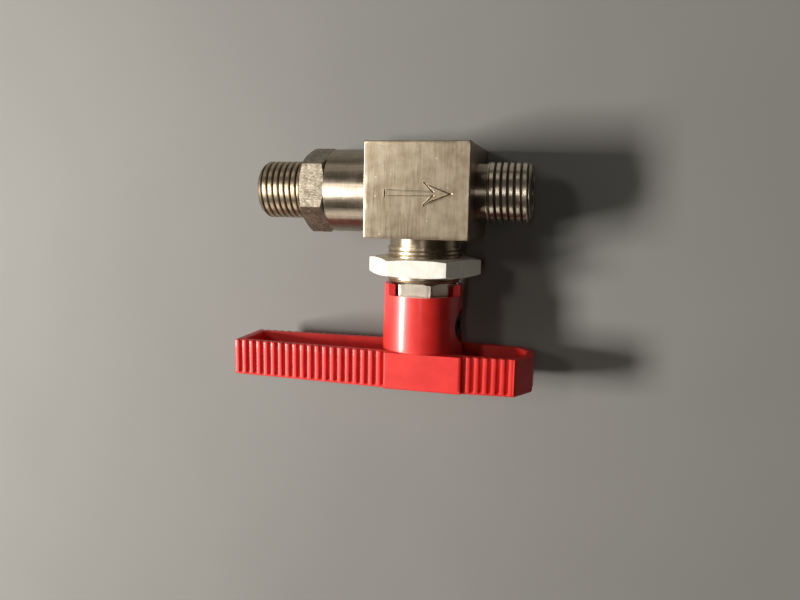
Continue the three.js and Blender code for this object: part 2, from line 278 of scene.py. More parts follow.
def boolean(piece, operation, *others):
    """Cuts or joins pieces, and returns the first with the result in its mesh."""
    for other in others:
        modifier = piece.modifiers.new(operation.lower(), "BOOLEAN")
        modifier.operation = operation
        modifier.solver = "EXACT"
        modifier.object = other
    bpy.context.view_layer.update()
    evaluated = piece.evaluated_get(bpy.context.evaluated_depsgraph_get())
    mesh = bpy.data.meshes.new_from_object(evaluated)
    piece.modifiers.clear()
    piece.data = mesh
    for other in others:
        bpy.data.objects.remove(other)
    clean(mesh)
    shade(mesh)
    return piece


def settle_normals(piece):
    """Lets the large faces decide how the edges between them are shaded."""
    modifier = piece.modifiers.new("weighted", "WEIGHTED_NORMAL")
    modifier.keep_sharp = True
    bpy.context.view_layer.update()
    depsgraph = bpy.context.evaluated_depsgraph_get()
    evaluated = piece.evaluated_get(depsgraph)
    mesh = bpy.data.meshes.new_from_object(evaluated, preserve_all_data_layers=True, depsgraph=depsgraph)
    piece.modifiers.clear()
    piece.data = mesh


def show(piece, body, slot, *nodes):
    """Hangs a finished piece on its body and hides the CAD nodes it stands for; its slot, a finish's name, is
    not used.
    """
    settle_normals(piece)
    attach(piece, body)
    if nodes:
        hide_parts(*nodes)


def quarter_turn(steps):
    """Angles from 0 to a right angle."""
    return [math.pi / 2 * step / steps for step in range(steps + 1)]


def edge_break(along, radius, size, to_along, to_radius):
    """A small round on a corner of a profile, from the side that runs along the axis to the face across it.

    to_along and to_radius are -1 or 1, into the metal.
    """
    rows = []
    for turn in quarter_turn(EDGE_STEPS):
        in_along, in_radius = size * (1 - math.sin(turn)), size * (1 - math.cos(turn))
        rows.append((along + to_along * in_along, radius + to_radius * in_radius))
    return rows


# ------------------------------------------------------------------ threads and hexagons
def groove_shape(phase):
    """0 on a thread's crest and 1 at its root, for a place counted in turns from a groove's middle."""
    root_flat, flank = 0.06, 0.42
    straight_share, eased_share = 0.55, 0.45
    from_root = np.abs(np.mod(phase + 0.5, 1.0) - 0.5) * 2
    slope = np.clip((from_root - root_flat) / flank, 0, 1)
    eased = slope * slope * (3 - 2 * slope)
    return 1 - (straight_share * slope + eased_share * eased)


class Thread:
    """A right-handed thread between two places on an axis, as profile rows that each follow their own helix.

    free_low and free_high tell which ends are chamfered; the other end fades out into a shank.
    """

    STEPS = 24

    def __init__(self, axis, crest, depth, pitch, groove_at, low, high, free_low, free_high):
        self.crest, self.depth, self.pitch, self.groove_at = crest, depth, pitch, groove_at
        self.low, self.high, self.free_low, self.free_high = low, high, free_low, free_high
        self.start, self.direction = (high, -1) if axis == "X" else (low, 1)
        self.count = math.ceil((high - low) / pitch * self.STEPS) + self.STEPS + 2

    def rows(self, angle):
        turned = self.pitch * angle / TAU - self.pitch
        steps = np.arange(self.count) * self.pitch / self.STEPS
        along = np.clip(self.start + self.direction * (steps + turned), self.low, self.high)
        phase = (along - self.groove_at) / self.pitch - self.direction * angle / TAU
        cut = self.depth * groove_shape(phase)
        cut = self.limit(cut, along - self.low, self.free_low)
        cut = self.limit(cut, self.high - along, self.free_high)
        return list(zip(along, self.crest - cut))

    def limit(self, cut, from_end, free):
        if free:
            return np.maximum(cut, self.depth + 0.1 - 0.85 * from_end)
        return cut * np.clip(from_end / (0.6 * self.pitch), 0, 1)


def hexagon_radius(angle, flats, corner, rounding=0.25):
    """Distance from the middle of a hexagon to its edge, with slightly rounded corners."""
    half = flats / 2
    sixth = math.radians(60)
    from_flat = (angle - corner) % sixth - sixth / 2
    straight = half / math.cos(from_flat)
    centre = (half - rounding) / math.cos(math.radians(30))
    from_corner = sixth / 2 - abs(from_flat)
    reach = rounding**2 - (centre * math.sin(from_corner)) ** 2
    if reach <= 0:
        return straight
    return min(straight, centre * math.cos(from_corner) + math.sqrt(reach))


def chamfered_side(angle, flats, corner, low, high, start, slope):
    """The side of a hexagon as profile rows, low to high, with both faces chamfered outside a circle."""
    edge = hexagon_radius(angle, flats, corner)
    drop = max((edge - start) * math.tan(math.radians(slope)), 0.12)
    start = min(start, edge - 0.12)
    return [(low, start), (low + drop, edge), (high - drop, edge), (high, start)]


def corner_angles(corner):
    return [corner + math.radians(60 * i) for i in range(6)]


# ------------------------------------------------------------------ node material helpers
class Shader:
    """A material's node tree. add() makes a node; an input may be a value or another node's output."""

    def __init__(self, name):
        self.material = bpy.data.materials.new(name)
        self.material.use_nodes = True
        self.tree = self.material.node_tree
        self.surface = self.tree.nodes["Principled BSDF"]

    def add(self, kind, inputs=None, output=0, **settings):
        node = self.tree.nodes.new(kind)
        for key, value in settings.items():
            setattr(node, key, value)
        for key, value in (inputs or {}).items():
            self.feed(node.inputs[key], value)
        return node.outputs[output]

    def feed(self, socket, value):
        if isinstance(value, bpy.types.NodeSocket):
            self.tree.links.new(value, socket)
        else:
            socket.default_value = value

    def set(self, **inputs):
        for key, value in inputs.items():
            self.feed(self.surface.inputs[key.replace("_", " ")], value)

    def place_in_mm(self, stretch=(1, 1, 1)):
        """Object coordinates in millimetres, stretched for grain."""
        coordinates = self.add("ShaderNodeTexCoord", output="Object")
        scale = tuple(1000 * s for s in stretch)
        return self.add("ShaderNodeMapping", {"Vector": coordinates, "Scale": scale})

    def noise(self, vector, scale, detail=4.0, roughness=0.55):
        inputs = {"Vector": vector, "Scale": scale, "Detail": detail, "Roughness": roughness}
        return self.add("ShaderNodeTexNoise", inputs, output="Fac")

    def ramp(self, factor, stops):
        node = self.tree.nodes.new("ShaderNodeValToRGB")
        self.tree.links.new(factor, node.inputs["Fac"])
        while len(node.color_ramp.elements) < len(stops):
            node.color_ramp.elements.new(0.5)
        for element, (position, color) in zip(node.color_ramp.elements, stops):
            element.position = position
            element.color = color if len(color) == 4 else (*color, 1)
        return node.outputs["Color"]

    def math(self, operation, a, b=0.0, clamp=False):
        return self.add("ShaderNodeMath", {0: a, 1: b}, operation=operation, use_clamp=clamp)

    def weigh(self, a, share_a, b, share_b):
        """The sum of two values, each times its share."""
        return self.math("ADD", self.math("MULTIPLY", a, share_a), self.math("MULTIPLY", b, share_b))

    def remap(self, value, low, high, to_low, to_high):
        inputs = {"Value": value, "From Min": low, "From Max": high, "To Min": to_low, "To Max": to_high}
        return self.add("ShaderNodeMapRange", inputs)

    def mix(self, factor, a, b):
        node = self.tree.nodes.new("ShaderNodeMix")
        node.data_type = "RGBA"
        self.feed(node.inputs[0], factor)
        self.feed(node.inputs[6], a if isinstance(a, bpy.types.NodeSocket) else (*a, 1))
        self.feed(node.inputs[7], b if isinstance(b, bpy.types.NodeSocket) else (*b, 1))
        return node.outputs[2]

    def bump(self, height, distance_mm):
        return self.add("ShaderNodeBump", {"Height": height, "Distance": distance_mm * MM, "Strength": 1.0})

    def axis(self, along):
        """The direction of X or Y, along which a turned part stretches its highlights."""
        return self.add("ShaderNodeCombineXYZ", {letter: float(along == letter) for letter in "XYZ"})

    def speckles(self, scale, radius):
        """1 in small round spots scattered over the surface, and 0 elsewhere."""
        inputs = {"Vector": self.place_in_mm(), "Scale": scale, "Randomness": 1.0}
        distance = self.add("ShaderNodeTexVoronoi", inputs, output="Distance")
        return self.remap(distance, radius * 0.4, radius, 1.0, 0.0)


WARM_LIGHT = (0.56, 0.47, 0.35)
WARM_DARK = (0.40, 0.32, 0.22)
# colour of the painted shade in the roots of the threads
PAINTED_ROOT_SHADE = (0.045, 0.03, 0.02)


def milled_metal():
    """The block: plated, milled along Y, mottled, with pits and scratches."""
    shader = Shader("milled_plated_steel")
    cloud = shader.noise(shader.place_in_mm(), 0.28, 5, 0.6)
    streaks = shader.noise(shader.place_in_mm((2.6, 0.16, 0.16)), 1.0, 6, 0.7)
    grain = shader.noise(shader.place_in_mm(), 5.0, 3, 0.6)
    pits = shader.speckles(0.42, 0.10)
    tone = shader.weigh(cloud, 0.6, streaks, 0.4)
    color = shader.ramp(tone, [(0.36, (0.325, 0.252, 0.168)), (0.6, (0.50, 0.42, 0.31))])
    color = shader.mix(shader.math("MULTIPLY", pits, 0.55), color, (0.86, 0.82, 0.72))
    rough = shader.remap(shader.math("ADD", streaks, grain), 0.7, 1.3, 0.28, 0.39)
    height = shader.weigh(streaks, 0.7, grain, 0.5)
    height = shader.math("SUBTRACT", height, shader.math("MULTIPLY", pits, 1.2))
    shader.set(Base_Color=color, Metallic=1.0, Roughness=rough, Normal=shader.bump(height, 0.012))
    return shader.material


def ring_marks(shader, along):
    """Tool marks left by turning: rings that change only along the axis."""
    stretch = (9.0, 0.15, 0.15) if along == "X" else (0.15, 9.0, 0.15)
    return shader.noise(shader.place_in_mm(stretch), 1.0, 4, 0.75)


def turned_metal(name, along, light=WARM_LIGHT, dark=WARM_DARK, roughness=0.42):
    """Turned and plated steel, which stretches its highlights along the axis it was turned about."""
    shader = Shader(name)
    rings = ring_marks(shader, along)
    cloud = shader.noise(shader.place_in_mm(), 0.35, 5, 0.65)
    drawn = (0.06, 2.2, 2.2) if along == "X" else (2.2, 0.06, 2.2)
    streaks = shader.noise(shader.place_in_mm(drawn), 1.0, 5, 0.7)
    tone = shader.weigh(rings, 0.3, cloud, 0.3)
    tone = shader.math("ADD", tone, shader.math("MULTIPLY", streaks, 0.4))
    color = shader.ramp(tone, [(0.36, dark), (0.6, light)])
    rough = shader.remap(cloud, 0.3, 0.7, roughness - 0.04, roughness + 0.07)
    shader.set(Base_Color=color, Metallic=1.0, Roughness=rough, Anisotropic=0.8, Tangent=shader.axis(along))
    height = shader.math("ADD", shader.math("MULTIPLY", streaks, 1.5), rings)
    shader.set(Normal=shader.bump(height, 0.004))
    return shader.material


def threaded_metal(name, along, crest, depth, polish=0.36, stretch=0.55, root_shade_color=PAINTED_ROOT_SHADE,
                   metal=(WARM_DARK, WARM_LIGHT)):
    """Turned thread: bright crests of a given roughness, and painted shade that darkens it towards the roots.
    """
    shader = Shader(name)
    coordinates = shader.add("ShaderNodeTexCoord", output="Object")
    centre = shader.add("ShaderNodeVectorMath", {0: coordinates, 1: tuple(ORIGIN)}, operation="SUBTRACT")
    across = (0.0, 1.0, 1.0) if along == "X" else (1.0, 0.0, 1.0)
    flat = shader.add("ShaderNodeVectorMath", {0: centre, 1: across}, operation="MULTIPLY")
    radius = shader.add("ShaderNodeVectorMath", {0: flat}, output="Value", operation="LENGTH")
    cloud = shader.noise(shader.place_in_mm(), 0.8, 4, 0.6)
    # painted shade: the colour darkens the nearer a place lies to the thread's root, varied by noise; the
    # roots are rougher too
    sunk = shader.remap(radius, (crest - depth) * MM, (crest - 0.12) * MM, 1.0, 0.0)
    root_shade = shader.math("MULTIPLY", sunk, shader.remap(cloud, 0.25, 0.6, 0.65, 1.0), clamp=True)
    plain = shader.ramp(cloud, [(0.35, metal[0]), (0.65, metal[1])])
    shader.set(Base_Color=shader.mix(root_shade, plain, root_shade_color), Metallic=1.0)
    shader.set(Roughness=shader.remap(root_shade, 0.0, 1.0, polish, 0.6))
    shader.set(Anisotropic=stretch, Tangent=shader.axis(along))
    return shader.material


def wrenched_metal():
    """The inlet hexagon: plated flats, dented and scratched by a wrench."""
    shader = Shader("wrenched_steel")
    cloud = shader.noise(shader.place_in_mm(), 0.5, 5, 0.6)
    dents = shader.noise(shader.place_in_mm(), 0.9, 3, 0.5)
    scratches = shader.noise(shader.place_in_mm((1.4, 3.0, 1.4)), 1.0, 6, 0.75)
    worn = shader.remap(scratches, 0.5, 0.62, 0.0, 1.0)
    color = shader.ramp(cloud, [(0.38, (0.17, 0.142, 0.105)), (0.58, (0.29, 0.25, 0.19))])
    color = shader.mix(shader.math("MULTIPLY", worn, 0.6), color, (0.66, 0.59, 0.48))
    height = shader.weigh(dents, 1.0, scratches, 0.6)
    shader.set(Base_Color=color, Metallic=1.0, Roughness=shader.remap(worn, 0.0, 1.0, 0.46, 0.36))
    shader.set(Normal=shader.bump(height, 0.05))
    return shader.material


def zinc_plate():
    """The panel nut: whitish plate with fine grain across its flats."""
    shader = Shader("zinc_plate")
    grain = shader.noise(shader.place_in_mm((3.2, 0.3, 3.2)), 1.0, 5, 0.7)
    cloud = shader.noise(shader.place_in_mm(), 0.5, 4, 0.6)
    tone = shader.weigh(grain, 0.5, cloud, 0.5)
    color = shader.ramp(tone, [(0.34, (0.78, 0.76, 0.67)), (0.6, (0.93, 0.91, 0.83))])
    shader.set(Base_Color=color, Metallic=0.45, Roughness=shader.remap(tone, 0.35, 0.65, 0.4, 0.52))
    shader.set(Normal=shader.bump(grain, 0.01))
    return shader.material


def red_plastic():
    """The lever: glossy moulded red plastic, faintly uneven, with small scuffs."""
    shader = Shader("red_plastic")
    cloud = shader.noise(shader.place_in_mm(), 0.22, 4, 0.5)
    fine = shader.noise(shader.place_in_mm(), 3.5, 3, 0.6)
    scuffs = shader.noise(shader.place_in_mm((0.5, 2.4, 0.5)), 1.2, 6, 0.75)
    scuffed = shader.remap(scuffs, 0.62, 0.74, 0.0, 0.35)
    color = shader.ramp(cloud, [(0.35, (0.62, 0.018, 0.014)), (0.65, (0.72, 0.028, 0.021))])
    color = shader.mix(scuffed, color, (0.74, 0.10, 0.08))
    rough = shader.remap(fine, 0.35, 0.65, 0.38, 0.46)
    rough = shader.math("ADD", rough, shader.math("MULTIPLY", scuffed, 0.4))
    coordinates = shader.add("ShaderNodeTexCoord", output="Object")
    along = shader.add("ShaderNodeSeparateXYZ", {"Vector": coordinates}, output="Y")
    hub_from = ORIGIN.y + BAR_TOP * MM
    gloss = shader.remap(along, hub_from, hub_from + MM, 0.12, 0.6)
    rough = shader.math("ADD", rough, shader.remap(along, hub_from, hub_from + MM, 0.08, 0.0))
    shader.set(Base_Color=color, Roughness=rough, IOR=1.5, Coat_Weight=gloss, Coat_Roughness=0.17)
    shader.set(Subsurface_Weight=0.05, Subsurface_Scale=0.001)
    shader.set(Subsurface_Radius=(1.0, 0.25, 0.15))
    height = shader.weigh(cloud, 0.9, fine, 0.12)
    shader.set(Normal=shader.bump(height, 0.03))
    return shader.material


def black_oxide():
    """The clamp screw: black oxide steel."""
    shader = Shader("black_oxide")
    cloud = shader.noise(shader.place_in_mm(), 1.4, 4, 0.6)
    color = shader.ramp(cloud, [(0.4, (0.012, 0.012, 0.014)), (0.7, (0.05, 0.05, 0.06))])
    shader.set(Base_Color=color, Metallic=0.9, Roughness=shader.remap(cloud, 0.3, 0.7, 0.3, 0.5))
    shader.set(Normal=shader.bump(cloud, 0.01))
    return shader.material


def inner_steel():
    """Ball, stem, washers and springs: ground steel."""
    shader = Shader("inner_steel")
    lines = shader.noise(shader.place_in_mm((1.0, 7.0, 1.0)), 1.0, 4, 0.7)
    color = shader.ramp(lines, [(0.35, (0.46, 0.46, 0.45)), (0.65, (0.64, 0.63, 0.61))])
    shader.set(Base_Color=color, Metallic=1.0, Roughness=shader.remap(lines, 0.3, 0.7, 0.18, 0.32))
    return shader.material


def brass():
    """The bush in the lever's hub."""
    shader = Shader("brass")
    rings = ring_marks(shader, "Y")
    color = shader.ramp(rings, [(0.35, (0.52, 0.36, 0.15)), (0.65, (0.72, 0.54, 0.27))])
    shader.set(Base_Color=color, Metallic=1.0, Roughness=shader.remap(rings, 0.3, 0.7, 0.24, 0.38))
    return shader.material


def ptfe():
    """Seats and packing: matt white, slightly see-through."""
    shader = Shader("ptfe")
    cloud = shader.noise(shader.place_in_mm(), 1.1, 4, 0.5)
    color = shader.ramp(cloud, [(0.35, (0.76, 0.74, 0.69)), (0.65, (0.88, 0.87, 0.84))])
    shader.set(Base_Color=color, Roughness=shader.remap(cloud, 0.3, 0.7, 0.5, 0.65))
    return shader.material


def seal_rubber():
    """The O-ring between the connector and the block."""
    shader = Shader("seal_rubber")
    fine = shader.noise(shader.place_in_mm(), 4.0, 4, 0.6)
    color = shader.ramp(fine, [(0.35, (0.012, 0.012, 0.012)), (0.65, (0.03, 0.03, 0.031))])
    shader.set(Base_Color=color, Roughness=shader.remap(fine, 0.3, 0.7, 0.55, 0.75))
    shader.set(Normal=shader.bump(fine, 0.02))
    return shader.material


MILLED = milled_metal()
TURNED_X = turned_metal("turned_steel_x", "X", (0.55, 0.48, 0.39), (0.25, 0.20, 0.145), 0.345)
TURNED_Y = turned_metal("turned_steel_y", "Y")
BRIGHT_PLATE = turned_metal("bright_plate", "Y", (0.76, 0.69, 0.59), (0.56, 0.49, 0.39), 0.3)
INLET_THREAD = threaded_metal("inlet_thread", "X", PORT_CREST, PORT_DEPTH)
# The outlet thread's metal is a brighter copy of the inlet thread's: painted light that stands in for its
# stronger crest highlights.
OUTLET_THREAD = threaded_metal("outlet_thread", "X", PORT_CREST, PORT_DEPTH, polish=0.27, stretch=0.6,
                               metal=((0.64, 0.55, 0.43), (0.88, 0.79, 0.66)))
# the neck's painted shade in its thread roots is paler
NECK_THREAD = threaded_metal("neck_thread", "Y", NECK_CREST, NECK_DEPTH, root_shade_color=(0.24, 0.19, 0.12))
WRENCHED = wrenched_metal()
ZINC = zinc_plate()
RED = red_plastic()
BLACK = black_oxide()


# ------------------------------------------------------------------ body block
ARROW_AXIS = -0.7
ARROW_TAIL = -6.25
ARROW_NOTCH = 4.75
ARROW_BARB = 2.7
ARROW_BEND = 3.5
ARROW_TIP = 8.8
SHAFT_HALF = 0.66
NOTCH_HALF = 0.42
BARB_HALF = 2.55
BEND_HALF = 2.05
CUT_DEPTH = 0.16
SHAFT_CUT_DEPTH = 0.05
CUT_HALF_WIDTH = 0.2
LIP_HEIGHT = 0.025
ENGRAVED_X = (-6.7, 9.3)
ENGRAVED_Y = (-4.1, 2.7)
FINE_STEP = 0.075
COARSE_STEP = 0.7


def arrow_strokes():
    """The engraved flow arrow as strokes on the block's upper face: (start, end, depth)."""
    half = [(ARROW_TAIL, SHAFT_HALF), (ARROW_NOTCH, NOTCH_HALF), (ARROW_BARB, BARB_HALF),
            (ARROW_BEND, BEND_HALF), (ARROW_TIP, 0.0)]
    strokes = [((ARROW_TAIL, ARROW_AXIS - SHAFT_HALF), (ARROW_TAIL, ARROW_AXIS + SHAFT_HALF), CUT_DEPTH)]
    for side in (1, -1):
        for number, ((x0, half0), (x1, half1)) in enumerate(zip(half, half[1:])):
            depth = SHAFT_CUT_DEPTH if number == 0 else CUT_DEPTH
            strokes.append(((x0, ARROW_AXIS + side * half0), (x1, ARROW_AXIS + side * half1), depth))
    return strokes


def stroke_height(x, y, start, end, depth):
    """A V groove with raised lips along one straight stroke."""
    run = np.subtract(end, start)
    share = np.clip(((x - start[0]) * run[0] + (y - start[1]) * run[1]) / (run @ run), 0, 1)
    distance = np.hypot(x - start[0] - share * run[0], y - start[1] - share * run[1])
    groove = -depth * np.clip(1 - distance / CUT_HALF_WIDTH, 0, 1)
    lip = LIP_HEIGHT * depth / CUT_DEPTH * np.exp(-(((distance - CUT_HALF_WIDTH - 0.06) / 0.07) ** 2))
    return groove, lip


def graded_places(low, fine_low, fine_high, high, fine_step, coarse_step):
    """Places from low to high, close together between fine_low and fine_high."""
    left = np.linspace(low, fine_low, max(2, round((fine_low - low) / coarse_step)))
    middle = np.linspace(fine_low, fine_high, round((fine_high - fine_low) / fine_step))
    right = np.linspace(fine_high, high, max(2, round((high - fine_high) / coarse_step)))
    return np.concatenate([left, middle[1:], right[1:]])


def engraved_height(x, y):
    """Height of the block's upper face: the deepest groove and the highest lip at each place."""
    grooves, lips = zip(*[stroke_height(x, y, *stroke) for stroke in arrow_strokes()])
    deepest = np.min(grooves, axis=0)
    return np.where(deepest < 0, deepest, np.max(lips, axis=0))


def grid_rim(count_x, count_y):
    """Indices round the edge of a grid of points, and the angle where each corner's quarter turn starts."""

    def index(i, j):
        return i * count_y + j

    rim = [index(i, 0) for i in range(count_x)]
    rim += [index(count_x - 1, j) for j in range(1, count_y)]
    rim += [index(i, count_y - 1) for i in range(count_x - 2, -1, -1)]
    rim += [index(0, j) for j in range(count_y - 2, 0, -1)]
    corners = {
        index(0, 0): 180,
        index(count_x - 1, 0): 270,
        index(count_x - 1, count_y - 1): 0,
        index(0, count_y - 1): 90,
    }
    return rim, corners


def outward_loop(points, rim, corners):
    """The rim with each corner opened into a quarter turn: indices, and the outward direction at each."""
    middle = (BLOCK_LEFT + BLOCK_RIGHT) / 2
    loop, outward = [], []
    for vertex in rim:
        if vertex in corners:
            for step in range(EDGE_STEPS + 1):
                turn = math.radians(corners[vertex] + 90 * step / EDGE_STEPS)
                loop.append(vertex)
                outward.append((math.cos(turn), math.sin(turn)))
        else:
            x, y = points[vertex, 0] - middle, points[vertex, 1]
            on_side = abs(x) / (BLOCK_RIGHT - middle) > abs(y) / BLOCK_HALF_HEIGHT
            loop.append(vertex)
            outward.append((np.sign(x), 0) if on_side else (0, np.sign(y)))
    return loop, np.array(outward)


def side_levels():
    """The block's side from its upper face to its lower one: the share of the edge break, and the height."""
    arc = []
    for turn in quarter_turn(EDGE_STEPS):
        arc.append((math.sin(turn), BLOCK_HALF_DEPTH - BLOCK_EDGE * (1 - math.cos(turn))))
    return arc + [(share, -z) for share, z in reversed(arc)]


def body_block():
    """The square block, with its edges broken and its arrow engraved, before its cavities are cut."""
    side_x = (BLOCK_LEFT + BLOCK_EDGE, BLOCK_RIGHT - BLOCK_EDGE)
    side_y = (-BLOCK_HALF_HEIGHT + BLOCK_EDGE, BLOCK_HALF_HEIGHT - BLOCK_EDGE)
    x = graded_places(side_x[0], *ENGRAVED_X, side_x[1], FINE_STEP, COARSE_STEP)
    y = graded_places(side_y[0], *ENGRAVED_Y, side_y[1], FINE_STEP, COARSE_STEP)
    grid_x, grid_y = np.meshgrid(x, y, indexing="ij")
    grid_z = BLOCK_HALF_DEPTH + engraved_height(grid_x, grid_y)
    top = np.stack([grid_x, grid_y, grid_z], axis=-1).reshape(-1, 3)
    loop, outward = outward_loop(top, *grid_rim(len(x), len(y)))
    rings = []
    for share, z in side_levels():
        sides = top[loop, :2] + outward * BLOCK_EDGE * share
        rings.append(np.column_stack([sides, np.full(len(loop), z)]))
    rings[0][:, 2] = top[loop, 2]
    faces = list(loops_to_faces(len(x), len(y), False, False))
    faces += list(loops_to_faces(len(rings), len(loop), False, True) + len(top))
    last = len(top) + (len(rings) - 1) * len(loop)
    faces.append(tuple(range(last, last + len(loop))))
    return make_piece("body_block", np.concatenate([top, *rings]), faces, [MILLED, TURNED_X])


def cavity_cutter(axis, outline):
    """A turned cutter about one of the two axes."""
    return revolve("cutter", axis, full_circle(64), lambda angle: outline, [MILLED])


def valve_body():
    """The block with the ball chamber, the flow bore and the stem passage cut through it."""
    # the cutters reach past the block's faces
    low, high, bottom = -13.0, 14.0, -12.0
    flow = cavity_cutter("X", [
        (low, 0),
        (low, CONNECTOR_BORE),
        (CONNECTOR_BORE_END, CONNECTOR_BORE),
        (CONNECTOR_BORE_END, CHAMBER),
        (CHAMBER_END, CHAMBER),
        (CHAMBER_END, FLOW_BORE),
        (high, FLOW_BORE),
        (high, 0),
    ])
    stem = cavity_cutter("Y", [
        (0, 0),
        (0, SHOULDER_BORE),
        (SHOULDER_BORE_END, SHOULDER_BORE),
        (SHOULDER_BORE_END, STEM_BORE),
        (NECK_BORE_FROM, STEM_BORE),
        (NECK_BORE_FROM, NECK_BORE),
        (bottom, NECK_BORE),
        (bottom, 0),
    ])
    return boolean(body_block(), "DIFFERENCE", flow, stem)


def port_inside(face, inwards, to):
    """The mouth of a port, from its face to the flow bore's inner end, as profile rows."""
    return [
        (face, CONE_MOUTH + 0.15),
        (face + inwards * 0.15, CONE_MOUTH),
        (face + inwards * CONE_DEPTH, TUBE_SOCKET),
        (face + inwards * SOCKET_DEPTH, TUBE_SOCKET),
        (face + inwards * SOCKET_DEPTH, FLOW_BORE),
        (to, FLOW_BORE),
    ]


def outlet_port():
    """The outlet stub: shank, M14x1.5 thread and cone."""
    thread = Thread("X", PORT_CREST, PORT_DEPTH, PORT_PITCH, OUTLET_GROOVE, OUTLET_THREAD_FROM, OUTLET_END,
                    free_low=False, free_high=True)
    shank = [(OUTLET_THREAD_FROM - THREAD_RUNOUT, OUTLET_SHANK), (PORT_ROOT_IN_BLOCK, OUTLET_SHANK)]
    inside = port_inside(OUTLET_END, -1, PORT_ROOT_IN_BLOCK)[::-1]
    strips = [1] * (thread.count - 1) + [0] * (1 + len(shank) + len(inside))
    return revolve("outlet_port", "X", full_circle(120), lambda angle: thread.rows(angle) + shank + inside,
                   [TURNED_X, OUTLET_THREAD], strips, thread.count, Thread.STEPS)


def body_neck():
    """The panel neck: plain relief under the block, then the M18x1 thread."""
    thread = Thread("Y", NECK_CREST, NECK_DEPTH, NECK_PITCH, NECK_GROOVE, NECK_END, NECK_RELIEF_TO,
                    free_low=True, free_high=False)
    relief = [(NECK_RELIEF_TO + THREAD_RUNOUT, NECK_RELIEF), (NECK_ROOT_IN_BLOCK, NECK_RELIEF)]
    inside = [(NECK_ROOT_IN_BLOCK, NECK_BORE), (NECK_END + 0.3, NECK_BORE), (NECK_END, NECK_BORE + 0.3)]
    strips = [1] * (thread.count - 1) + [0] * (1 + len(relief) + len(inside))
    return revolve("body_neck", "Y", full_circle(132), lambda angle: thread.rows(angle) + relief + inside,
                   [TURNED_Y, NECK_THREAD], strips, thread.count, Thread.STEPS)


# ------------------------------------------------------------------ inlet connector and nuts
def inlet_connector():
    """Threaded end, hexagon and round barrel, in one piece with its through bore."""
    corner = math.radians(30 - HEX_TILT)
    thread = Thread("X", PORT_CREST, PORT_DEPTH, PORT_PITCH, INLET_GROOVE, INLET_END, INLET_THREAD_TO,
                    free_low=True, free_high=False)
    root = PORT_CREST - PORT_DEPTH + 0.1
    inside = port_inside(INLET_END, 1, SPIGOT_END)
    spigot = [(SPIGOT_END, SPIGOT - 0.4), (SPIGOT_END - 0.4, SPIGOT), (BARREL_END, SPIGOT)]
    barrel = edge_break(BARREL_END, BARREL, 0.3, -1, -1)[::-1]
    barrel += [(HEX_TO + 0.45, BARREL), (HEX_TO + 0.25, BARREL - 0.35), (HEX_TO, BARREL - 0.35)]
    relief = [(HEX_FROM, root), (INLET_THREAD_TO + THREAD_RUNOUT, root)]

    def rows_at(angle):
        # the hexagon's angle is counted the other way round about X
        side = chamfered_side(-angle, HEX_FLATS, corner, HEX_FROM, HEX_TO, HEX_CHAMFER_FROM, HEX_CHAMFER)
        side = side[::-1]
        return thread.rows(angle) + inside + spigot + barrel + side + relief

    turned = len(inside) + len(spigot) + len(barrel)
    strips = [1] * (thread.count - 1) + [0] * (1 + turned) + [2] * 3 + [0] * (1 + len(relief))
    hexagon_corners = [-a for a in corner_angles(corner)]
    return revolve("inlet_connector_shown", "X", full_circle(120, hexagon_corners), rows_at,
                   [TURNED_X, INLET_THREAD, WRENCHED], strips, thread.count, Thread.STEPS)


def hexagon_nut(name, flats, corner_degrees, bottom, top, bore, chamfer, start_share, material):
    """A hexagon nut about the stem axis, with a chamfered bore.

    Its chamfer, in degrees, starts at a share of the distance from its middle to its flats.
    """
    corner = math.radians(corner_degrees)
    start = flats / 2 * start_share
    hole = [(top, bore + 0.35), (top - 0.35, bore), (bottom + 0.35, bore), (bottom, bore + 0.35)]

    def rows_at(angle):
        return chamfered_side(angle, flats, corner, bottom, top, start, chamfer) + hole

    return revolve(name, "Y", full_circle(96, corner_angles(corner)), rows_at, [material])


# ------------------------------------------------------------------ lever
def crest_half(x):
    """Half width of the lever bar over its rib crests."""
    pad_from = LEFT_RIBS_FROM + LEFT_RIBS * RIB_PITCH
    left = np.interp(x, [BAR_TIP, pad_from], [HALF_AT_TIP, HALF_LEFT_OF_HUB])
    right = np.interp(x, [RIGHT_RIBS_FROM, NOSE_FROM, BAR_NOSE], [HALF_RIGHT_OF_HUB, HALF_AT_NOSE, NOSE_HALF])
    pad_to = RIGHT_RIBS_FROM - (RIB_PITCH - RIB_WIDTH)
    return np.where(x < pad_from, left, np.where(x <= pad_to, HALF_PAD, right))


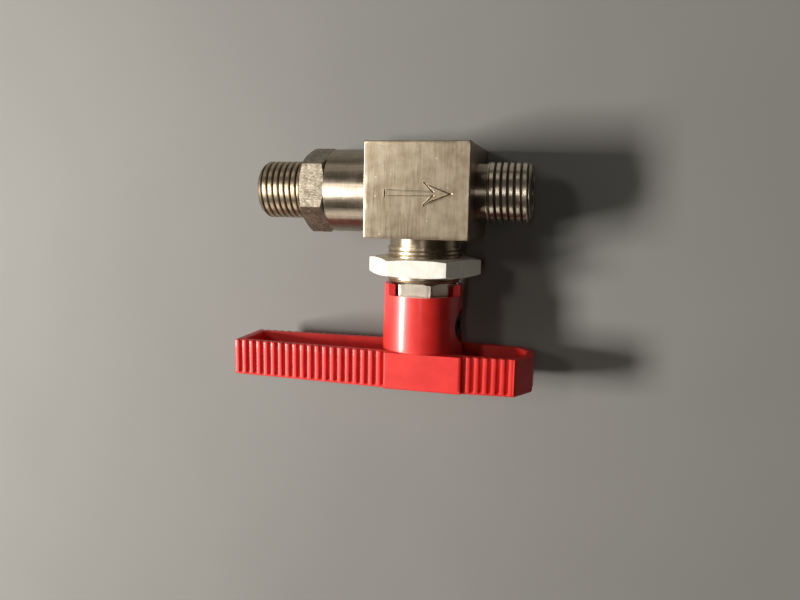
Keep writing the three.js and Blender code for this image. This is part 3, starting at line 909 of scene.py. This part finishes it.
def ribbed_line():
    """Places along one side of the bar, and how deep each lies under the bar's full width."""
    places, depths = [BAR_TIP, BAR_TIP + 0.03, BAR_TIP + 0.09], [0.22, 0.1, 0.03]
    pad_from = LEFT_RIBS_FROM + LEFT_RIBS * RIB_PITCH
    pad_to = RIGHT_RIBS_FROM - (RIB_PITCH - RIB_WIDTH)

    def add_run(low, high, count, depth_at):
        for share in (np.arange(count) + 0.5) / count:
            places.append(low + share * (high - low))
            depths.append(depth_at(share))

    def crown(share):
        return RIB_CROWN * (2 * share - 1) ** 2

    def add_rib(low):
        add_run(low, low + RIB_WIDTH, 9, crown)

    def add_groove(low):
        width = RIB_PITCH - RIB_WIDTH
        add_run(low, low + width, 13, lambda share: RIB_CROWN + (RIB_DEPTH - RIB_CROWN) * groove_wall(share))

    def groove_wall(share):
        rise = min(share, 1 - share) / 0.26
        return 1 - (1 - min(rise, 1)) ** 2

    for i in range(LEFT_RIBS):
        add_rib(LEFT_RIBS_FROM + i * RIB_PITCH)
        add_groove(LEFT_RIBS_FROM + i * RIB_PITCH + RIB_WIDTH)
    add_run(pad_from, pad_from + 0.5, 6, lambda share: RIB_CROWN * (1 - share) ** 2)
    add_run(pad_from + 0.5, pad_to - 0.8, 8, lambda share: 0.0)
    add_run(pad_to - 0.8, pad_to, 8, lambda share: 0.28 * share**2)
    for i in range(RIGHT_RIBS):
        add_groove(pad_to + i * RIB_PITCH)
        add_rib(RIGHT_RIBS_FROM + i * RIB_PITCH)
    add_run(RIGHT_RIBS_FROM + (RIGHT_RIBS - 1) * RIB_PITCH + RIB_WIDTH, BAR_NOSE, 12, lambda share: 0.0)
    places.append(BAR_NOSE)
    depths.append(0.0)
    return np.array(places), np.array(depths)


def mirrored_slab(name, levels, materials):
    """A closed body from levels in Y, each (y, places, half widths) of an outline symmetric about Z."""
    count = len(levels[0][1])
    points = []
    for y, places, halves in levels:
        upper = np.column_stack([places, np.full(count, y), halves])
        lower = np.column_stack([places, np.full(count, y), -np.asarray(halves)])[::-1]
        points.append(np.concatenate([upper, lower]))
    ring = 2 * count
    faces = list(loops_to_faces(len(levels), ring, False, True))
    for start in (0, (len(levels) - 1) * ring):
        for i in range(count - 1):
            faces.append((start + i, start + i + 1, start + ring - 2 - i, start + ring - 1 - i))
    return make_piece(name, np.concatenate(points), faces, materials)


def lever_bar():
    """The ribbed outside of the bar. Its ribs fade towards its rounded face, and its rim is nearly sharp."""
    places, depths = ribbed_line()
    crest = crest_half(places)
    levels = []

    def add_level(y, inset):
        fade = np.clip((y - BAR_BOTTOM - RIBS_FADE_FROM) / (RIBS_FADE_TO - RIBS_FADE_FROM), 0, 1)
        tip_share = np.clip(1 - (places - BAR_TIP) / END_REACH, 0, 1)
        nose_share = np.clip(1 - (BAR_NOSE - places) / END_REACH, 0, 1)
        levels.append((y, places + inset * (tip_share - nose_share), crest - inset - depths * fade))

    for turn in quarter_turn(6):
        add_level(BAR_BOTTOM + BOTTOM_FILLET * (1 - math.cos(turn)), BOTTOM_FILLET * (1 - math.sin(turn)))
    for y in np.linspace(BAR_BOTTOM + BOTTOM_FILLET, BAR_BOTTOM + RIBS_FADE_TO + 0.05, 5)[1:]:
        add_level(y, 0.0)
    for y in np.linspace(BAR_BOTTOM + RIBS_FADE_TO, BAR_TOP - RIM_EDGE, 5)[1:-1]:
        add_level(y, 0.0)
    for turn in quarter_turn(EDGE_STEPS):
        add_level(BAR_TOP - RIM_EDGE * (1 - math.sin(turn)), RIM_EDGE * (1 - math.cos(turn)))
    return mirrored_slab("lever_handle_shown", levels, [RED])


def arm_hollow(outline):
    """The hollow of one arm as a cutter, from (x, half width) points, with a flared mouth and round floor."""
    places = np.array([x for x, _ in outline])
    halves = np.array([half for _, half in outline])
    floor, round_off, flare, flare_depth = BAR_BOTTOM + FLOOR_THICKNESS, 0.6, 0.18, 0.25
    levels = []

    def add_level(y, inset):
        shrunk = places - np.sign(places) * inset * (np.abs(places) > 1)
        levels.append((y, shrunk, halves - inset))

    for turn in quarter_turn(4):
        add_level(floor + round_off * (1 - math.cos(turn)), round_off * (1 - math.sin(turn)))
    add_level(BAR_TOP - flare_depth, 0.0)
    add_level(BAR_TOP, -flare)
    add_level(BAR_TOP + 1, -flare)
    return mirrored_slab("hollow", levels, [RED])


def rounded_tip(end, half, radius):
    """Points of an outline's end with a rounded corner, from the middle of the end outwards."""
    side = -1 if end < 0 else 1
    points = []
    for turn in quarter_turn(4):
        points.append((end - side * radius * (1 - math.sin(turn)), half - radius * (1 - math.cos(turn))))
    return points[::-1]


def arm_hollows():
    """The hollow left of the hub, and the one right of it, which narrows towards the nose."""
    inset = RIB_DEPTH + WALL
    left_end = BAR_TIP + inset - 0.1
    left = rounded_tip(left_end, HALF_AT_TIP - inset, 0.8) + [(0.0, HALF_LEFT_OF_HUB - inset)]
    right = [
        (0.0, HALF_RIGHT_OF_HUB - inset),
        (NOSE_FROM - 1.2, HALF_AT_NOSE - inset),
        (BAR_NOSE - 2.6, NOSE_HALF + 0.9),
        (BAR_NOSE - 1.9, NOSE_HALF - 0.4),
    ]
    return arm_hollow(left), arm_hollow(right)


def rim_cut(side):
    """Cutter that lowers the hub's rim in front of its lugs, or behind them, and leaves their ends flat."""
    reach, corner = HUB + 2, 0.25
    outline = [(reach, LUG_TOP + 2), (LUG_HALF, LUG_TOP + 2)]
    outline += [(LUG_HALF + corner * (1 - math.cos(turn)), HUB_RIM + corner * (1 - math.sin(turn)))
                for turn in (0.0, 0.5, 1.0, math.pi / 2)]
    outline += [(reach, HUB_RIM)]
    turned = Matrix.Rotation(math.radians(LUG_TURN), 3, "Y")
    points = []
    for end in (-reach, reach):
        points += [turned @ Vector((end, along, side * across)) for across, along in outline]
    count = len(outline)
    faces = list(loops_to_faces(2, count, False, True))
    faces += [tuple(range(count)), tuple(range(count, 2 * count))]
    return make_piece("cutter", points, faces, [RED])


def hub_post():
    """The hub, with its two lugs, its recess round the gland nut and the bore for its metal bush."""
    in_bar, outer_edge, inner_edge = BAR_BOTTOM + 1.0, 0.22, 0.18
    outline = [(in_bar, 0), (in_bar, HUB), (BAR_TOP, HUB)]
    outline += edge_break(LUG_TOP, HUB - HUB_DRAFT, outer_edge, -1, -1)
    outline += edge_break(LUG_TOP, HUB_RECESS, inner_edge, -1, 1)[::-1]
    outline += [(HUB_RECESS_FLOOR, HUB_RECESS), (HUB_RECESS_FLOOR, INSERT_BORE)]
    outline += [(INSERT_END, INSERT_BORE), (INSERT_END, 0)]
    post = revolve("hub", "Y", full_circle(144), lambda angle: outline, [RED])
    return boolean(post, "DIFFERENCE", rim_cut(1), rim_cut(-1))


def screw_hole():
    """Cutter for the counterbore and the shank hole in the side of the hub."""
    shank_hole, past_hub = SCREW_SHANK + 0.25, HUB + 1
    outline = [(0, 0), (0, shank_hole), (COUNTERBORE_FLOOR, shank_hole)]
    outline += [(COUNTERBORE_FLOOR, COUNTERBORE), (past_hub, COUNTERBORE), (past_hub, 0)]
    cutter = revolve("cutter", "X", full_circle(64), lambda angle: outline, [RED])
    cutter.data.transform(Matrix.Translation((0, SCREW_Y * MM, 0)))
    return cutter


def lever_handle():
    """The red moulding: ribbed hollow bar, hub with lugs and screw hole, as one body."""
    handle = boolean(lever_bar(), "DIFFERENCE", *arm_hollows())
    handle = boolean(handle, "UNION", hub_post())
    return boolean(handle, "DIFFERENCE", screw_hole())


def clamp_screw():
    """Low-head socket screw in the hub's side."""
    edge = edge_break(SCREW_HEAD_TOP, SCREW_HEAD, 0.35, -1, -1)

    def rows_at(angle):
        socket = hexagon_radius(angle, SCREW_SOCKET, 0.0, 0.08)
        return [
            (SCREW_TIP, 0),
            (SCREW_TIP, SCREW_SHANK - 0.4),
            (SCREW_TIP + 0.4, SCREW_SHANK),
            (SCREW_HEAD_BOTTOM, SCREW_SHANK),
            (SCREW_HEAD_BOTTOM, SCREW_HEAD - 0.1),
            (SCREW_HEAD_BOTTOM + 0.1, SCREW_HEAD),
            *edge,
            (SCREW_HEAD_TOP, socket + 0.12),
            (SCREW_HEAD_TOP - 0.12, socket),
            (SCREW_HEAD_TOP - 1.5, socket),
            (SCREW_HEAD_TOP - 1.9, 0),
        ]

    screw = revolve("lever_clamp_screw_shown", "X", full_circle(72, corner_angles(0.0)), rows_at, [BLACK])
    screw.data.transform(Matrix.Translation((0, SCREW_Y * MM, 0)))
    return screw


# ------------------------------------------------------------------ pieces on their bodies
def dress_inner_nodes():
    """The CAD nodes that stay get finished materials."""
    steel, soft, bronze, rubber = inner_steel(), ptfe(), brass(), seal_rubber()
    finishes = {
        "ball": steel, "stem": steel, "seat_spring_washer": steel, "packing_follower": steel,
        "disc_spring_1": steel, "disc_spring_2": steel, "seat_ring_inlet": soft, "seat_ring_outlet": soft,
        "stem_thrust_washer": soft, "packing_ring_1": soft, "packing_ring_2": soft, "packing_ring_3": soft,
        "lever_insert": bronze, "body_o_ring": rubber,
    }
    for node, material in finishes.items():
        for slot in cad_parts[node].material_slots:
            slot.material = material


def build_pieces():
    """Every piece that shows, on its body and in place of its CAD node."""
    show(valve_body(), "valve", "plated_steel", "valve_body")
    show(outlet_port(), "valve", "plated_steel")
    show(body_neck(), "valve", "plated_steel")
    show(inlet_connector(), "valve", "turned_steel", "inlet_connector")
    panel_nut = hexagon_nut("panel_nut_shown", PANEL_NUT_FLATS, PANEL_NUT_CORNER, PANEL_NUT_BOTTOM,
                            PANEL_NUT_TOP, bore=NECK_CREST + 0.04, chamfer=13, start_share=0.985,
                            material=ZINC)
    show(panel_nut, "panel_nut", "zinc_plate", "panel_nut")
    gland = hexagon_nut("gland_nut_shown", GLAND_FLATS, GLAND_CORNER, GLAND_BOTTOM, GLAND_TOP,
                        bore=GLAND_BORE, chamfer=25, start_share=0.96, material=BRIGHT_PLATE)
    show(gland, "valve", "turned_steel", "gland_nut")
    show(lever_handle(), "lever", "red_plastic", "lever_handle")
    show(clamp_screw(), "lever", "black_steel", "lever_clamp_screw")
    dress_inner_nodes()


# ------------------------------------------------------------------ stage, light and camera
FLOOR_HALF_SIZE = 1.5
FLOOR_DARK = (0.176, 0.174, 0.163)
FLOOR_LIGHT = (0.196, 0.193, 0.181)
LIGHT_DISTANCE = 0.7
DAYLIGHT = (1.0, 0.97, 0.92)
PALE_LIGHT = (1.0, 0.95, 0.88)
WARM_WALL = (1.0, 0.93, 0.83)
ROOM_LIGHT = (1.0, 0.90, 0.78)
ROOM_LEFT = 0.22
ROOM_RIGHT = 0.006


def stage_floor():
    """A plain pale floor, faintly uneven in tone."""
    size = FLOOR_HALF_SIZE
    mesh = bpy.data.meshes.new("floor")
    corners = [(-size, -size, 0), (size, -size, 0), (size, size, 0), (-size, size, 0)]
    mesh.from_pydata(corners, [], [(0, 1, 2, 3)])
    shader = Shader("floor_paint")
    cloud = shader.noise(shader.place_in_mm(), 0.01, 3, 0.5)
    shader.set(Base_Color=shader.ramp(cloud, [(0.3, FLOOR_DARK), (0.7, FLOOR_LIGHT)]), Roughness=0.75)
    mesh.materials.append(shader.material)
    floor = bpy.data.objects.new("floor", mesh)
    bpy.context.scene.collection.objects.link(floor)


def area_light(name, direction, size, power, color=DAYLIGHT):
    """A soft panel that shines at the valve from a direction."""
    light = bpy.data.lights.new(name, "AREA")
    light.shape = "RECTANGLE"
    light.size, light.size_y = size
    light.energy = power
    light.color = color
    panel = bpy.data.objects.new(name, light)
    towards = Vector(direction).normalized()
    panel.location = ORIGIN + towards * LIGHT_DISTANCE
    panel.rotation_euler = towards.to_track_quat("Z", "Y").to_euler()
    bpy.context.scene.collection.objects.link(panel)


def room_light():
    """The dim warm room all round, darker to the right."""
    world = bpy.data.worlds.new("studio")
    world.use_nodes = True
    tree = world.node_tree
    background = tree.nodes["Background"]
    background.inputs["Color"].default_value = (*ROOM_LIGHT, 1)
    direction = tree.nodes.new("ShaderNodeTexCoord")
    axes = tree.nodes.new("ShaderNodeSeparateXYZ")
    strength = tree.nodes.new("ShaderNodeMapRange")
    settings = {"From Min": -1.0, "From Max": 0.25, "To Min": ROOM_LEFT, "To Max": ROOM_RIGHT}
    for name, value in settings.items():
        strength.inputs[name].default_value = value
    tree.links.new(direction.outputs["Generated"], axes.inputs["Vector"])
    tree.links.new(axes.outputs["X"], strength.inputs["Value"])
    tree.links.new(strength.outputs["Result"], background.inputs["Strength"])
    bpy.context.scene.world = world


def studio_light():
    """One soft window from the left, small lamps for the highlights, and weak light from above and below."""
    area_light("window", (-0.79, -0.09, 0.62), (0.19, 0.11), 9.0)
    area_light("lamp", (-0.42, 0.20, 0.88), (0.08, 0.08), 0.55)
    area_light("glint", (0.06, 0.0, 1.0), (0.20, 0.05), 0.25)
    area_light("fill", (-0.35, -0.9, 0.3), (0.3, 0.3), 0.6, WARM_WALL)
    area_light("sky", (-0.3, 0.85, 0.4), (0.3, 0.3), 0.2, PALE_LIGHT)
    room_light()


CAMERA_PLACE = (34.32, -2.61, 162.79)
CAMERA_TURN = (-7.94, 14.05, 1.07)
CAMERA_LENS_SHARE = 0.849375


def photo_camera():
    """Above the valve and to its right, looking down at it. Its lens is a share of its sensor's width."""
    camera = bpy.data.cameras.new("camera")
    camera.sensor_width = 36.0
    camera.lens = camera.sensor_width * CAMERA_LENS_SHARE
    camera.clip_start = 0.01
    holder = bpy.data.objects.new("camera", camera)
    holder.location = Vector(place([CAMERA_PLACE])[0])
    holder.rotation_euler = [math.radians(a) for a in CAMERA_TURN]
    bpy.context.scene.collection.objects.link(holder)
    bpy.context.scene.camera = holder


build_pieces()
stage_floor()
studio_light()
photo_camera()
bpy.context.scene.view_settings.view_transform = "Standard"
